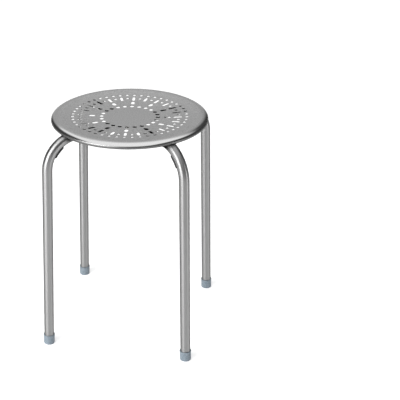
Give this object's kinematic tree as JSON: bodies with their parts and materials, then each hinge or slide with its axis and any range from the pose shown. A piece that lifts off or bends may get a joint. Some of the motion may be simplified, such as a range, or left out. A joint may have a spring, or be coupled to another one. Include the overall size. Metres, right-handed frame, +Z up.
{
  "type": "stacking stool",
  "caption": "Round perforated steel stool: dished seat with rolled rim on crossed U-bent tube legs, with black stacking pads inside the bends and blue-grey foot caps.",
  "frame": {"origin": "on the floor, under the middle of the seat", "axes": "+Z up, -Y to the front of the picture, legs on the diagonals of X and Y"},
  "size_m": [0.2998, 0.2998, 0.45],
  "materials": {
    "satin_steel_seat": "satin, finely grained top with a bright polished rim",
    "polished_steel_tube": "drawn steel tube with a bright satin polish",
    "black_rubber_pad": "matt moulded black",
    "grey_blue_cap": "matt mottled blue-grey",
    "plain_steel_washer": "plain zinc-plated"
  },
  "bodies": {
    "root": {"seat_pan": "satin_steel_seat", "leg_frame_upper": "polished_steel_tube", "leg_frame_lower": "polished_steel_tube", "stacking_pad_front_left": "black_rubber_pad", "foot_cap_front_left": "grey_blue_cap", "foot_washer_front_left": "plain_steel_washer", "stacking_pad_front_right": "black_rubber_pad", "foot_cap_front_right": "grey_blue_cap", "foot_washer_front_right": "plain_steel_washer", "stacking_pad_back_right": "black_rubber_pad", "foot_cap_back_right": "grey_blue_cap", "foot_washer_back_right": "plain_steel_washer", "stacking_pad_back_left": "black_rubber_pad", "foot_cap_back_left": "grey_blue_cap", "foot_washer_back_left": "plain_steel_washer"}
  },
  "joints": []
}
